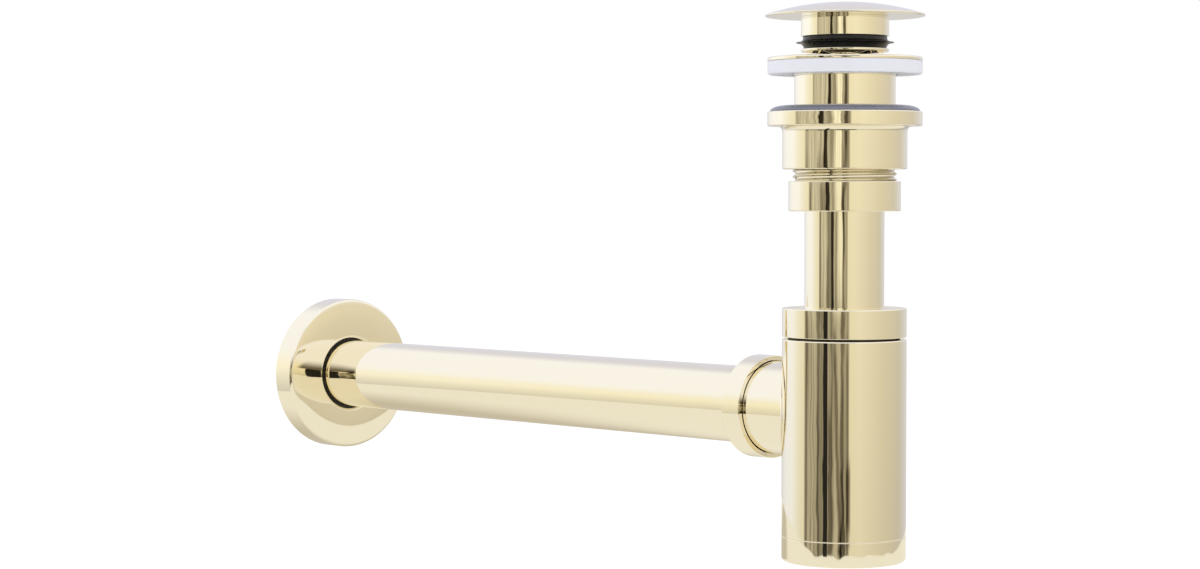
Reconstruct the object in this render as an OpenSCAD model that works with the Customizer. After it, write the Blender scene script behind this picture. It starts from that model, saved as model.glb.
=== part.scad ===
// Bottle trap for a wash basin, with its pop-up waste, wall tube and wall rosette.
// Millimetres. The origin is where the waste's axis meets the basin's surface.
// Z runs up the waste, and the outlet tube runs towards +Y, into the wall.

/* [Pop-up plug] */
// Diameter of the domed cap
cap_d = 64; // [56:0.5:72]
// Rise of the dome above the cap's edge
cap_rise = 5; // [3:0.1:8]
// Thickness of the cap's edge
cap_edge = 0.8; // [0.6:0.1:2]
// Height of the open cap's underside above the flange
cap_lift = 16.2; // [15:0.1:19]
// Gap between the plug and the bore of the waste
plug_gap = 1.15; // [0.6:0.05:2]
// Height of the neck between the cap and the seal
neck_h = 8; // [6:0.1:9]
// Height of the rubber seal
seal_h = 4.9; // [4:0.1:5.5]
// Overlap of the seal's lip on the dish, past the edge of the bore
lip_over = 1.25; // [0.8:0.05:2]
// Depth of the groove that holds the seal
seal_groove = 2; // [1.5:0.1:2.5]
// Height of the ring under the seal
plug_ring_h = 1.2; // [0.8:0.1:1.6]
// Height of the seal's lip below the top of the seal
lip_drop = 2.4; // [2:0.1:2.8]
// Thickness of the plug's roof under the cap
plug_roof_t = 2.6; // [2:0.1:4]
// Length of the cap's stud
stud_l = 4.5; // [3.5:0.1:5.5]
// Solid metal between the cap's stud and the plunger
stud_gap = 1.7; // [1:0.1:3]
// Diameter of the hub inside the plug
hub_d = 12; // [10:0.5:14]
// Diameter of the plunger's stem
stem_d = 8; // [6:0.5:8.5]

/* [Click cartridge] */
// Outer diameter of the sleeve
sleeve_d = 14; // [13:0.5:16]
// Wall of the sleeve
sleeve_wall = 1; // [0.8:0.1:1.2]
// Length of the sleeve
sleeve_l = 31; // [30:0.5:34]
// Wire of the spring
spring_wire = 1.1; // [0.8:0.1:1.2]
// Turns of the spring
spring_turns = 6; // [4:1:7]
// Teeth on the indexing ring
index_teeth = 8; // [6:1:10]
// Height of the plunger's head
head_h = 3; // [2:0.1:4]
// Height of the indexing ring
index_h = 3; // [2.4:0.1:4]
// Diameter of the pin under the plunger's head
pin_d = 4.8; // [4:0.1:5.5]
// Height of the sleeve above the cross
sleeve_proud = 4.7; // [3:0.1:6]

/* [Waste] */
// Diameter of the flange in the basin, of its washer and of the back nut's flange
flange_d = 62; // [60:0.5:70]
// Thickness of the flange's edge
flange_edge = 1.6; // [1.2:0.1:2.5]
// Outer diameter of the plain tube through the basin
waste_d = 40.5; // [39.5:0.1:41]
// Wall of the waste tube
waste_wall = 1.5; // [1.3:0.1:1.8]
// Height of the thread's crests over the plain tube
thread_rise = 0.55; // [0.4:0.05:0.8]
// Pitch of the waste's thread
waste_pitch = 2.309; // [1.5:0.001:2.5]
// Width of the flat land between the flange's edge and its dish
flange_land = 2.5; // [1.5:0.1:3.5]
// Width of each arm of the cross that holds the cartridge
arm_w = 2.4; // [1.6:0.1:4]
// Height of the cross
cross_h = 6; // [4:0.5:10]

/* [Washers of the waste] */
// Thickness of the white washer
pad_t = 5.4; // [4:0.1:7]
// Thickness of basin between the two washers
basin_t = 12.3; // [8:0.1:14]
// Step from the edge of the nut's flange in to the grey washer
gasket_step = 1; // [0.5:0.1:3]
// Width of the grey washer's rounded shoulder
gasket_shoulder = 5.2; // [3:0.1:7]
// Thickness of the grey washer
gasket_t = 2.45; // [1.5:0.05:4]

/* [Back nut] */
// Thickness of the nut's flange
nut_flange_t = 5.85; // [4:0.05:7]
// Wall of the nut's body
nut_wall = 4.1; // [2.5:0.1:5.5]
// Whole height of the nut
nut_h = 23.1; // [20:0.1:26]
// Radius of the hollow corner between flange and body
nut_fillet = 2.2; // [1:0.1:2.6]

/* [Tail nut] */
// Bare thread between the back nut and the tail nut
tail_gap = 4.75; // [4.7:0.05:7]
// Wall of the tail nut
tail_nut_wall = 1.6; // [1.2:0.1:3]
// Height of the tail nut
tail_nut_h = 12; // [11:0.1:15]
// Length of waste tube that the tail nut grips
tail_grip = 6; // [5:0.1:6.4]
// Thickness of the flat rubber washer in the tail nut
tail_washer_t = 2.5; // [2:0.1:2.8]

/* [Inlet tube] */
// Diameter of the inlet and outlet tubes
tube_d = 32; // [30:0.5:33]
// Wall of both tubes
tube_wall = 1.2; // [1:0.1:1.5]
// Length of bare inlet tube between the tail nut and the collar
tube_show = 38.8; // [30:0.1:60]
// Thickness of the collar at the top of the inlet tube
tube_collar_t = 1.5; // [1.2:0.1:1.7]
// Gap between the end of the inlet tube and the floor of the cup
dip_gap = 10.4; // [9:0.1:20]

/* [Trap body] */
// Width of the tapered seal round the inlet tube
seal_w = 3.6; // [3:0.1:4.5]
// Wall of the neck between the seal and the collar's thread
neck_wall = 2.8; // [2.4:0.1:3.6]
// Wall of the trap body
trap_wall = 1.6; // [1.4:0.1:1.8]
// Height of the trap body from its shoulder to the cup's seam
trap_h = 79.1; // [74:0.1:100]
// Height of the collar
collar_h = 11.65; // [11.4:0.05:15]
// Gap between the collar and the body
collar_gap = 1.15; // [0.5:0.05:1.5]
// Wall of the collar
collar_wall = 2.1; // [1.6:0.1:2.4]
// Thickness of the collar's top wall
collar_top_wall = 2; // [1.5:0.1:2.5]
// Room in the collar between the neck's end and the slip ring
collar_room = 1.4; // [0.8:0.1:2.4]
// Thickness of the slip rings in the collar and in the outlet nut
slip_ring_t = 1.2; // [0.8:0.1:1.5]
// Depth of the seal's pocket in the neck
seal_pocket = 3.6; // [3:0.1:4.2]
// Pitch of the threads on the body
body_pitch = 1.5; // [1:0.25:2]
// Visible height of the cup
cup_h = 10.1; // [8:0.1:16]
// Radius of the cup's rounded bottom edge
cup_round = 1.75; // [0.5:0.05:1.9]
// Thickness of the cup's floor
cup_floor = 2; // [1.5:0.1:3]
// Length of the cup's threaded spigot inside the body
spigot_h = 9.3; // [9.2:0.1:14]
// Wall of the cup's spigot
spigot_wall = 2.9; // [2.6:0.1:3.4]
// Section of the cup's O-ring
o_ring = 1.8; // [1.4:0.1:2]

/* [Outlet] */
// Height from the body's shoulder down to the outlet's axis
outlet_drop = 29.3; // [27:0.1:34]
// Width of the seal round the outlet tube
outlet_seal_w = 1.8; // [1.4:0.1:2.4]
// Depth of the seal's pocket in the stub
outlet_pocket = 4; // [3:0.1:5]
// Wall of the stub round the pocket
pocket_wall = 0.8; // [0.6:0.1:1.4]
// End of the stub, measured from the trap's axis
stub_end = 45; // [44:0.1:48]
// Wall of the outlet nut
outlet_nut_wall = 2.15; // [1.7:0.05:3]
// Length of the outlet nut
outlet_nut_l = 10; // [9:0.1:11]
// Depth of the step between the outlet nut's thread and its wider mouth
outlet_nut_step = 0.7; // [0.4:0.05:1]
// Depth of the wider mouth in the outlet nut's rim
outlet_nut_mouth = 2.5; // [1:0.1:3]
// Thickness of the outlet nut's end wall
outlet_nut_roof = 1.8; // [1.4:0.1:2.4]
// Room in the outlet nut between the stub's end and the slip ring
outlet_room = 0.4; // [0.2:0.1:0.8]
// Length of outlet tube inside the stub
tube_in_stub = 15; // [12:0.1:17]
// Bare outlet tube between the outlet nut and the rosette
outlet_show = 274.9; // [200:0.1:320]

/* [Wall rosette] */
// Diameter of the rosette
rosette_d = 72; // [66:0.5:80]
// Depth of the rosette from the wall to its face
rosette_t = 12; // [8:0.1:16]
// Wall of the rosette
rosette_wall = 1.5; // [1.2:0.1:2]
// Radius of the rosette's front edge
rosette_round = 1.2; // [0.4:0.1:2]
// Width of the rubber ring between the tube and the rosette
rosette_seal = 2; // [1.5:0.1:3]
// Depth of the collar round the rosette's hole
rosette_collar = 5; // [4:0.1:7]
// Length of outlet tube that enters the wall
tube_in_wall = 15; // [5:0.5:60]

/* [Fits] */
// Radial running clearance on the tubes and in the cartridge
run_gap = 0.08; // [0.02:0.01:0.1]
// Radial gap between the tubes and the holes in the trap that they pass through
entry_gap = 0.4; // [0.3:0.05:0.6]
// Radial clearance of the threads
thread_gap = 0.1; // [0.05:0.01:0.1]
// Gap left between a moving piece and its stop
stop_gap = 0.15; // [0.1:0.01:0.3]
// Small chamfer on turned edges
edge = 0.4; // [0.2:0.05:0.5]

/* [Hidden] */
$fn = 96;

// Radii of the tubes, the waste and its nuts
tube_r = tube_d / 2;
tube_bore = tube_r - tube_wall;
guide_r = tube_r + run_gap;
waste_r = waste_d / 2;
waste_bore = waste_r - waste_wall;
thread_r = waste_r + thread_rise;
nut_bore = thread_r + thread_gap;
flange_r = flange_d / 2;
gasket_r = flange_r - gasket_step;
nut_r = nut_bore + nut_wall;
tail_nut_r = nut_bore + tail_nut_wall;

// Radii of the plug and the click cartridge
plug_r = waste_bore - plug_gap;
lip_r = waste_bore + lip_over;
groove_r = plug_r - seal_groove;
seal_r = plug_r - 0.8;
stem_r = stem_d / 2;
sleeve_r = sleeve_d / 2;
sleeve_bore = sleeve_r - sleeve_wall;
socket_r = sleeve_r + 2.2;
head_r = sleeve_bore - run_gap;
pin_r = pin_d / 2;

// Radii of the trap
entry_r = tube_r + entry_gap;
seal_out = entry_r + seal_w;
neck_r = seal_out + neck_wall;
neck_bore = neck_r + thread_gap;
trap_r = neck_bore + collar_wall;
trap_bore = trap_r - trap_wall;
spigot_r = trap_bore - thread_gap;
spigot_bore = spigot_r - spigot_wall;
o_ring_r = spigot_r + 0.04 - o_ring / 2;

// Radii of the outlet and the rosette
pocket_r = entry_r + outlet_seal_w;
stub_r = pocket_r + pocket_wall;
outlet_nut_bore = stub_r + thread_gap;
outlet_nut_r = outlet_nut_bore + outlet_nut_wall;
rosette_r = rosette_d / 2;
rosette_hole = tube_r + rosette_seal;

// Heights of the waste, from the basin's surface
flange_low = pad_t;
flange_top = pad_t + flange_edge;
dish_low = 0.1;
dish_rim = flange_r - flange_land;
dish_slope = (flange_low - dish_low) / (dish_rim - waste_r);
dish_skin = waste_wall * sqrt(1 + dish_slope * dish_slope);
function dish_z(r) = dish_low + (r - waste_r) * dish_slope + dish_skin;
gasket_top = -basin_t;
nut_top = gasket_top - gasket_t;
nut_low = nut_top - nut_h;
nut_flange_low = nut_top - nut_flange_t;
tail_top = nut_low - tail_gap;
tail_low = tail_top - tail_nut_h;
waste_low = tail_top - tail_grip;
thread_top = gasket_top - 0.3;

// Heights of the plug when it stands open
cap_z = flange_top + cap_lift;
stud_low = cap_z - stud_l;
stem_top = stud_low - stud_gap;
plug_roof = cap_z - plug_roof_t;
neck_low = cap_z - neck_h;
ring_top = neck_low - seal_h;
ring_low = ring_top - plug_ring_h;
hub_low = ring_low - 0.8;
lip_t = 0.2;
lip_z = neck_low - lip_drop;
plug_travel = lip_z - lip_t / 2 - dish_z(lip_r) - stop_gap;

// Heights of the click cartridge
sleeve_top = hub_low - plug_travel - 0.4;
sleeve_low = sleeve_top - sleeve_l;
sleeve_roof = sleeve_top - 2;
head_top = sleeve_roof - stop_gap;
head_low = head_top - head_h;
index_top = head_low - stop_gap;
index_low = index_top - index_h;
end_top = sleeve_low + 2.5;
end_low = sleeve_low - 1;
pin_low = end_top + plug_travel + 0.5;
cross_top = sleeve_top - sleeve_proud;
cross_low = cross_top - cross_h;

// Heights of the inlet tube and the trap
tube_top = waste_low - tail_washer_t;
tube_catch = tube_top - tube_collar_t;
collar_top = tail_low - tube_show;
collar_low = collar_top - collar_h;
collar_roof = collar_top - collar_top_wall;
ring_seat = collar_roof - slip_ring_t;
neck_top = ring_seat - collar_room;
seal_low = neck_top - seal_pocket;
seal_taper = 2;
entry_low = seal_low - 3.2;
body_top = collar_low - collar_gap;
body_low = body_top - trap_h;
cup_low = body_low - cup_h;
cup_in = cup_low + cup_floor;
cup_corner = 1.5;
dip_low = cup_in + dip_gap;
spigot_top = body_low + spigot_h;
o_ring_z = body_low + 3.3;
o_ring_room = 0.1;

// Places along the outlet, measured from the trap's axis
outlet_z = body_top - outlet_drop;
outlet_seal_end = stub_end + outlet_room;
outlet_roof = outlet_seal_end + slip_ring_t;
outlet_nut_end = outlet_roof + outlet_nut_roof;
outlet_nut_start = outlet_nut_end - outlet_nut_l;
pocket_start = stub_end - outlet_pocket;
pocket_taper = 1;
tube_start = stub_end - tube_in_stub;
rosette_face = outlet_nut_end + outlet_show;
rosette_back = rosette_face + rosette_t;
rosette_ring_in = 0.8;
tube_end = rosette_back + tube_in_wall;

// Points of an arc about (cx, cz), from angle a0 to a1
function arc(cx, cz, r, a0, a1, n = 6) =
    [for (i = [0:n]) let (a = a0 + (a1 - a0) * i / n) [cx + r * cos(a), cz + r * sin(a)]];

// Outline of thread ridges, from z0 down over the given length
function ridges(r, z0, length, pitch) =
    let (depth = 0.55 * pitch, turns = floor(length / pitch))
    [for (i = [0:turns - 1], p = [[r, 0], [r, 0.2], [r - depth, 0.55], [r - depth, 0.65]])
        [p[0], z0 - (i + p[1]) * pitch]];

function reversed(points) = [for (i = [len(points) - 1:-1:0]) points[i]];

module turned(points) rotate_extrude() polygon(points);

// Turned piece whose axis is the outlet's, with heights measured along +Y
module along_outlet() translate([0, 0, outlet_z]) rotate([-90, 0, 0]) children();

module plug_cap() color("gold") {
    rim_r = cap_edge / 2;
    dome_r = (pow(cap_d / 2, 2) + pow(cap_rise, 2)) / (2 * cap_rise);
    dome_a = asin(cap_d / 2 / dome_r);
    turned(concat(
        [[0, stud_low], [stem_r, stud_low], [stem_r, cap_z], [cap_d / 2 - cap_edge, cap_z]],
        arc(cap_d / 2 - rim_r, cap_z + rim_r, rim_r, -90, 0, 4),
        arc(0, cap_z + cap_edge + cap_rise - dome_r, dome_r, 90 - dome_a, 90, 16)));
}

// Turned bell with a hub, screwed to the cap's stud above and to the plunger below
module plug_body() color("gold") {
    hollow_r = groove_r - 1.4;
    hub_r = hub_d / 2;
    fillet = 1;
    foot = edge / 2;
    turned([[stem_r, cap_z], [plug_r - edge, cap_z], [plug_r, cap_z - edge],
        [plug_r, neck_low + edge], [plug_r - edge, neck_low],
        [groove_r, neck_low], [groove_r, ring_top],
        [plug_r - foot, ring_top], [plug_r, ring_top - foot],
        [plug_r, ring_low + foot], [plug_r - foot, ring_low],
        [plug_r - plug_ring_h, ring_low], [hollow_r, ring_low + 1.5],
        [hollow_r, plug_roof - fillet], [hollow_r - fillet, plug_roof],
        [hub_r + fillet, plug_roof], [hub_r, plug_roof - fillet],
        [hub_r, hub_low + edge], [hub_r - edge, hub_low],
        [stem_r, hub_low], [stem_r, stem_top], [0, stem_top],
        [0, stud_low], [stem_r, stud_low]]);
}

// Band in the groove, with a thin lip that spreads to the dish
module plug_seal() color("black")
    turned([[groove_r, neck_low], [seal_r, neck_low], [seal_r + 0.1, lip_z + 0.8],
        [lip_r, lip_z + lip_t / 2], [lip_r, lip_z - lip_t / 2],
        [seal_r + 0.2, lip_z - 0.8], [seal_r - 0.5, ring_top], [groove_r, ring_top]]);

// Stem with a head that can't leave the sleeve, and a pin that guides the ring and spring
module plunger() color("silver")
    turned([[0, stem_top], [stem_r, stem_top], [stem_r, head_top],
        [head_r, head_top], [head_r, head_low], [pin_r, head_low],
        [pin_r, pin_low + edge], [pin_r - edge, pin_low], [0, pin_low]]);

// Ring with notches across its top that index on the head
module index_ring() color("ivory") {
    notch_w = 0.9;
    notch_h = 1.8;
    difference() {
        turned([[pin_r + run_gap, index_low], [head_r, index_low],
            [head_r, index_top], [pin_r + run_gap, index_top]]);
        for (i = [0:index_teeth - 1]) rotate([0, 0, i * 360 / index_teeth])
            translate([pin_r + 1.4, -notch_w / 2, index_top - notch_h]) cube([head_r, notch_w, index_h]);
    }
}

// Round wire swept along a helix, closed at both ends
module cartridge_spring() color("dimgray") {
    sides = 6;
    steps = 16 * spring_turns;
    wire = spring_wire / 2;
    coil = head_r - 0.2 - wire;
    low = end_top + stop_gap + wire;
    rise = index_low - stop_gap - wire - low;
    rings = [for (i = [0:steps], k = [0:sides - 1])
        let (a = 360 * i / 16, b = 360 * k / sides, r = coil + wire * cos(b))
        [r * cos(a), r * sin(a), low + rise * i / steps + wire * sin(b)]];
    walls = [for (i = [0:steps - 1], k = [0:sides - 1])
        let (n = (k + 1) % sides)
        [i * sides + k, (i + 1) * sides + k, (i + 1) * sides + n, i * sides + n]];
    ends = [[for (k = [0:sides - 1]) k], [for (k = [sides - 1:-1:0]) steps * sides + k]];
    polyhedron(rings, concat(walls, ends));
}

module cartridge_sleeve() color("silver")
    turned([[stem_r + run_gap, sleeve_top], [sleeve_r - edge, sleeve_top],
        [sleeve_r, sleeve_top - edge], [sleeve_r, sleeve_low], [sleeve_bore, sleeve_low],
        [sleeve_bore, sleeve_roof], [stem_r + run_gap, sleeve_roof]]);

// Plug that closes the sleeve and carries the spring
module cartridge_end() color("silver")
    turned([[0, end_low], [sleeve_r - edge, end_low], [sleeve_r, end_low + edge],
        [sleeve_r, sleeve_low], [sleeve_bore, sleeve_low], [sleeve_bore, end_top], [0, end_top]]);

// Dished flange, tube, thread, and the cross that holds the cartridge
module waste_body() color("gold") {
    rim_r = flange_edge / 2;
    cone_r = dish_rim - 0.5;
    sink = 0.5;
    turned(concat(
        [[cone_r, dish_z(cone_r)], [cone_r + 0.3, flange_top]],
        arc(flange_r - rim_r, flange_top - rim_r, rim_r, 90, 0, 5),
        [[flange_r, flange_low], [dish_rim, flange_low], [waste_r, dish_low],
         [waste_r, thread_top + edge]],
        ridges(thread_r, thread_top, thread_top - waste_low, waste_pitch),
        [[thread_r - 0.55 * waste_pitch, waste_low], [waste_bore, waste_low],
         [waste_bore, dish_z(waste_bore)]]));
    for (a = [0:90:270]) rotate([0, 0, a]) translate([socket_r - sink, -arm_w / 2, cross_low])
        cube([waste_bore - socket_r + 2 * sink, arm_w, cross_h]);
    turned([[sleeve_r, cross_low], [socket_r, cross_low], [socket_r, cross_top],
        [sleeve_r, cross_top]]);
}

// Thick washer whose conical hole follows the underside of the dish
module flange_washer() color("white") {
    hole = waste_r + 1;
    soft = 0.05;
    low_round = 1;
    top_round = 0.4;
    turned(concat(
        [[hole, 0]],
        arc(flange_r - low_round, low_round, low_round, -90, 0, 5),
        arc(flange_r - top_round, pad_t - top_round, top_round, 0, 90, 3),
        [[dish_rim + soft, pad_t], [hole, dish_low + (hole - waste_r - soft) * dish_slope]]));
}

// Flat ring with a rounded shoulder towards the basin
module basin_washer() color("slategray")
    turned([[nut_bore, nut_top], [gasket_r, nut_top],
        [gasket_r - 0.02 * gasket_shoulder, gasket_top - 0.7 * gasket_t],
        [gasket_r - 0.25 * gasket_shoulder, gasket_top - 0.33 * gasket_t],
        [gasket_r - 0.63 * gasket_shoulder, gasket_top - 0.08 * gasket_t],
        [gasket_r - gasket_shoulder, gasket_top], [nut_bore, gasket_top]]);

module back_nut() color("gold")
    turned(concat(
        [[nut_bore, nut_top], [flange_r - edge, nut_top], [flange_r, nut_top - edge],
         [flange_r, nut_flange_low + edge], [flange_r - edge, nut_flange_low]],
        arc(nut_r + nut_fillet, nut_flange_low - nut_fillet, nut_fillet, 90, 180, 6),
        [[nut_r, nut_low + edge], [nut_r - edge, nut_low], [nut_bore, nut_low]]));

module tail_nut() color("gold")
    turned([[nut_bore, tail_top], [tail_nut_r - edge, tail_top],
        [tail_nut_r, tail_top - edge], [tail_nut_r, tail_low + edge],
        [tail_nut_r - edge, tail_low], [guide_r, tail_low],
        [guide_r, tube_catch], [nut_bore, tube_catch]]);

module tail_washer() color("black") {
    hole = tube_bore + 0.4;
    rim = nut_bore - 0.3;
    turned([[hole, tube_top], [rim, tube_top], [rim, waste_low], [hole, waste_low]]);
}

// The top of the tube is turned out into a flat collar that the tail nut catches
module inlet_tube() color("gold") {
    catch_r = nut_bore - 0.5;
    turned([[tube_bore, tube_top], [catch_r, tube_top], [catch_r, tube_catch],
        [tube_r, tube_catch], [tube_r, dip_low + edge / 2],
        [tube_r - edge / 2, dip_low], [tube_bore, dip_low]]);
}

module collar_nut() color("gold")
    turned([[guide_r, collar_top], [trap_r - edge, collar_top], [trap_r, collar_top - edge],
        [trap_r, collar_low + edge / 2], [trap_r - edge / 2, collar_low],
        [neck_bore, collar_low], [neck_bore, collar_roof], [guide_r, collar_roof]]);

module collar_ring() color("ivory") {
    rim = neck_r - 0.5;
    turned([[guide_r, ring_seat], [rim, ring_seat], [rim, collar_roof], [guide_r, collar_roof]]);
}

module collar_seal() color("black")
    turned([[guide_r, seal_low], [entry_r + 2.2, seal_low],
        [seal_out - run_gap, seal_low + seal_taper],
        [seal_out - run_gap, ring_seat], [guide_r, ring_seat]]);

// Body with its threaded neck, the seal's pocket and the outlet stub
module trap_body() color("gold") difference() {
    root_r = neck_r - 0.8;
    shoulder = 2;
    union() {
        turned(concat(
            [[root_r, body_top], [trap_r - edge / 2, body_top], [trap_r, body_top - edge / 2],
             [trap_r, body_low + edge / 2], [trap_r - edge / 2, body_low],
             [trap_bore, body_low], [trap_bore, body_top - shoulder],
             [trap_bore - shoulder, body_top - trap_wall + edge],
             [entry_r, entry_low], [entry_r, seal_low], [entry_r + 2.2, seal_low],
             [seal_out, seal_low + seal_taper], [seal_out, neck_top], [root_r, neck_top]],
            ridges(neck_r, neck_top - edge, neck_top - edge - body_top, body_pitch)));
        along_outlet() cylinder(r = stub_r, h = stub_end);
    }
    translate([0, 0, outlet_z]) cylinder(r = trap_bore, h = 2 * stub_r + 1, center = true);
    along_outlet() cylinder(r = entry_r, h = stub_end + 1);
    along_outlet() translate([0, 0, pocket_start]) cylinder(r = pocket_r, h = stub_end);
}

// Cup with a threaded spigot and a groove for its ring
module bottom_cup() color("gold") {
    groove = o_ring_r - o_ring / 2;
    groove_top = o_ring_z + o_ring / 2 + o_ring_room;
    groove_low = o_ring_z - o_ring / 2 - o_ring_room;
    thread_z = spigot_top - edge;
    turned(concat(
        [[0, cup_low]],
        arc(trap_r - cup_round, cup_low + cup_round, cup_round, -90, 0, 6),
        [[trap_r, body_low - edge / 2], [trap_r - edge / 2, body_low], [spigot_r, body_low],
         [spigot_r, groove_low], [groove, groove_low], [groove, groove_top],
         [spigot_r, groove_top]],
        reversed(ridges(spigot_r, thread_z, thread_z - groove_top, body_pitch)),
        [[spigot_r - edge, spigot_top], [spigot_bore, spigot_top]],
        arc(spigot_bore - cup_corner, cup_in + cup_corner, cup_corner, 0, -90, 4),
        [[0, cup_in]]));
}

module cup_seal() color("black")
    rotate_extrude() translate([o_ring_r, o_ring_z]) circle(d = o_ring, $fn = 24);

module outlet_nut() color("gold") along_outlet() {
    mouth_r = outlet_nut_bore + outlet_nut_step;
    mouth_end = outlet_nut_start + outlet_nut_mouth;
    turned([[mouth_r, outlet_nut_start], [outlet_nut_r - edge, outlet_nut_start],
        [outlet_nut_r, outlet_nut_start + edge], [outlet_nut_r, outlet_nut_end - edge],
        [outlet_nut_r - edge, outlet_nut_end], [guide_r, outlet_nut_end],
        [guide_r, outlet_roof], [outlet_nut_bore, outlet_roof],
        [outlet_nut_bore, mouth_end + outlet_nut_step], [mouth_r, mouth_end]]);
}

module outlet_ring() color("ivory") along_outlet() {
    rim = stub_r - 0.3;
    turned([[guide_r, outlet_seal_end], [rim, outlet_seal_end],
        [rim, outlet_roof], [guide_r, outlet_roof]]);
}

module outlet_seal() color("black") along_outlet() {
    rim = pocket_r - run_gap;
    turned([[guide_r, pocket_start], [rim - pocket_taper, pocket_start],
        [rim, pocket_start + pocket_taper], [rim, outlet_seal_end],
        [guide_r, outlet_seal_end]]);
}

module outlet_tube() color("gold") along_outlet()
    turned([[tube_bore, tube_start], [tube_r - edge / 2, tube_start],
        [tube_r, tube_start + edge / 2], [tube_r, tube_end - edge / 2],
        [tube_r - edge / 2, tube_end], [tube_bore, tube_end]]);

// Spun cup, open at the wall, with a short inner collar round the hole
module wall_rosette() color("gold") along_outlet() {
    inner_r = rosette_r - rosette_wall;
    inner_face = rosette_face + rosette_wall;
    inner_corner = 1;
    collar_r = rosette_hole + rosette_wall;
    collar_end = rosette_face + rosette_collar;
    turned(concat(
        [[rosette_hole, rosette_face + edge], [rosette_hole + edge, rosette_face]],
        arc(rosette_r - rosette_round, rosette_face + rosette_round, rosette_round, -90, 0, 5),
        [[rosette_r, rosette_back], [inner_r, rosette_back],
         [inner_r, inner_face + inner_corner], [inner_r - inner_corner, inner_face],
         [collar_r, inner_face], [collar_r, collar_end], [rosette_hole, collar_end]]));
}

module rosette_ring() color("black") along_outlet() {
    front = rosette_face + rosette_ring_in;
    back = rosette_face + rosette_collar;
    turned([[guide_r, front], [rosette_hole, front], [rosette_hole, back], [guide_r, back]]);
}

plug_cap();
plug_body();
plug_seal();
plunger();
index_ring();
cartridge_spring();
cartridge_sleeve();
cartridge_end();
waste_body();
flange_washer();
basin_washer();
back_nut();
tail_nut();
tail_washer();
inlet_tube();
collar_nut();
collar_ring();
collar_seal();
trap_body();
bottom_cup();
cup_seal();
outlet_nut();
outlet_ring();
outlet_seal();
outlet_tube();
wall_rosette();
rosette_ring();
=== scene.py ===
# Bottle trap for a wash basin, with its pop-up waste, wall tube and wall rosette, in polished
# light gold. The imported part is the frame, and each piece that shows is turned again round it
# with its roundings, threads and finish. Outlines are in millimetres, with the basin's top face
# at height 0 on the trap's own axis. Blender's own values are in metres.
import math

import bmesh
import bpy
from mathutils import Matrix, Vector


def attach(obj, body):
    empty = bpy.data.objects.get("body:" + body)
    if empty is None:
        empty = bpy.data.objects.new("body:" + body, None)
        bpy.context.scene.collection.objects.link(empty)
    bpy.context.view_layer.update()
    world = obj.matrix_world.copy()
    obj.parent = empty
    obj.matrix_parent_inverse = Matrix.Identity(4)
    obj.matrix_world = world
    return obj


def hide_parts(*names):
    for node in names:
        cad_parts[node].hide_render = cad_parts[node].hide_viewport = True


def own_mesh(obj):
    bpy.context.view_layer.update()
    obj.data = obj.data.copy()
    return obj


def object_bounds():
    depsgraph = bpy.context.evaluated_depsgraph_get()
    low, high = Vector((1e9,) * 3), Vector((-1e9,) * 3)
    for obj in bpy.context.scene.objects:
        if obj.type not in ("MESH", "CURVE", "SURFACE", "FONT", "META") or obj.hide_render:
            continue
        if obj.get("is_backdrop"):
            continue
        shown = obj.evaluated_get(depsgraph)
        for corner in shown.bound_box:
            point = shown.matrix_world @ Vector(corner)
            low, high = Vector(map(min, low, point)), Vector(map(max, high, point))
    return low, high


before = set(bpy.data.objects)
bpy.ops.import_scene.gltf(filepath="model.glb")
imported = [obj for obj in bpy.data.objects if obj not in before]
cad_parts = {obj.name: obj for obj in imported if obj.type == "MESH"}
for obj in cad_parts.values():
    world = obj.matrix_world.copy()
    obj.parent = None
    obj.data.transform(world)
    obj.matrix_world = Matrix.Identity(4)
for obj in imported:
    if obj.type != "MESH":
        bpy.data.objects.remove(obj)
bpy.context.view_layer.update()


# Waste: one brass turning with a dished flange, a tube with a rolled 1 1/4 inch thread and
# a cross inside that holds the click cartridge. It is polished and coated in light gold.
MM = 0.001
OUTLET_Z = -0.1355          # the outlet's axis


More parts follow.
